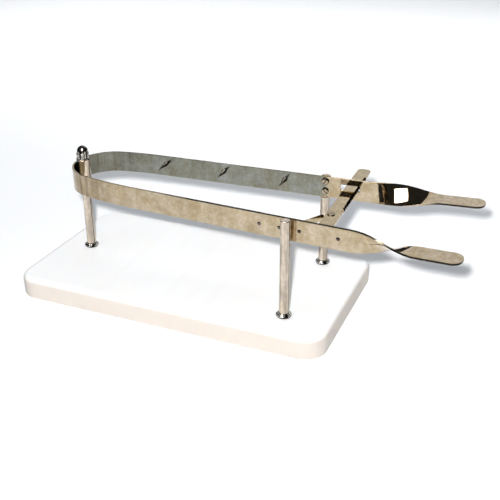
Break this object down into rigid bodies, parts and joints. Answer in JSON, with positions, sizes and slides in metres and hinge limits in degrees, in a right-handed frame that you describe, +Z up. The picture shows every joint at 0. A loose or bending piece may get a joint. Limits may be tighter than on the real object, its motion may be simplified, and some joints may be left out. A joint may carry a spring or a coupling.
{
  "type": "ham holder",
  "caption": "Countertop clamp for carving ham: a sprung steel strap with twisted handles, inner spikes and a toothed latch bar, on posts over a thick plastic cutting board.",
  "frame": {"origin": "centre of the board's underside", "axes": "+Z up, +X along the board towards the handles, +Y towards the back arm"},
  "size_m": [0.5997, 0.2829, 0.1872],
  "materials": {
    "board": "white polyethylene, faintly mottled",
    "strap": "polished spring steel with a warm tone",
    "post": "polished bar",
    "chrome": "bright plated",
    "latch": "polished spring steel",
    "spike": "turned steel",
    "fastener": "nickel plated"
  },
  "bodies": {
    "stand": {"back_bolt": "fastener", "back_bolt_washer": "fastener", "back_collar": "chrome", "back_post": "post", "cutting_board": "board", "dome_nut": "chrome", "front_bolt": "fastener", "front_bolt_washer": "fastener", "front_collar": "chrome", "front_post": "post", "lower_post_screw": "fastener", "nose_bolt": "fastener", "nose_bolt_washer": "fastener", "nose_collar": "chrome", "nose_post": "post", "nose_screw": "fastener", "nose_sleeve": "post", "nose_washer": "chrome", "spike_1": "spike", "spike_2": "spike", "spike_3": "spike", "strap_back_arm": "strap", "upper_post_screw": "fastener"},
    "front_arm": {"strap_front_arm": "strap", "latch_bracket": "latch", "bracket_rivet_1": "fastener", "bracket_rivet_2": "fastener", "latch_spring": "latch", "leaf_rivet_1": "fastener", "leaf_rivet_2": "fastener"},
    "latch": {"latch_pin": "fastener", "latch_bar": "latch", "latch_stop_screw": "fastener", "latch_stop_nut": "fastener"}
  },
  "joints": [
    {"name": "arm_flex", "type": "hinge", "parent": "stand", "child": "front_arm", "pos_m": [-0.17012, -0.03376, 0.148], "axis": [0, 0, 1], "range_deg": [0, 12], "stiffness_Nm_per_rad": 40},
    {"name": "latch_hinge", "type": "hinge", "parent": "front_arm", "child": "latch", "pos_m": [0.20146, -0.05704, 0.148], "axis": [0, 0, 1], "range_deg": [-12, 0], "deforming": ["latch_spring"]}
  ],
  "couplings": [
    {"joint": "latch_hinge", "follows": "arm_flex", "ratio": -1}
  ]
}
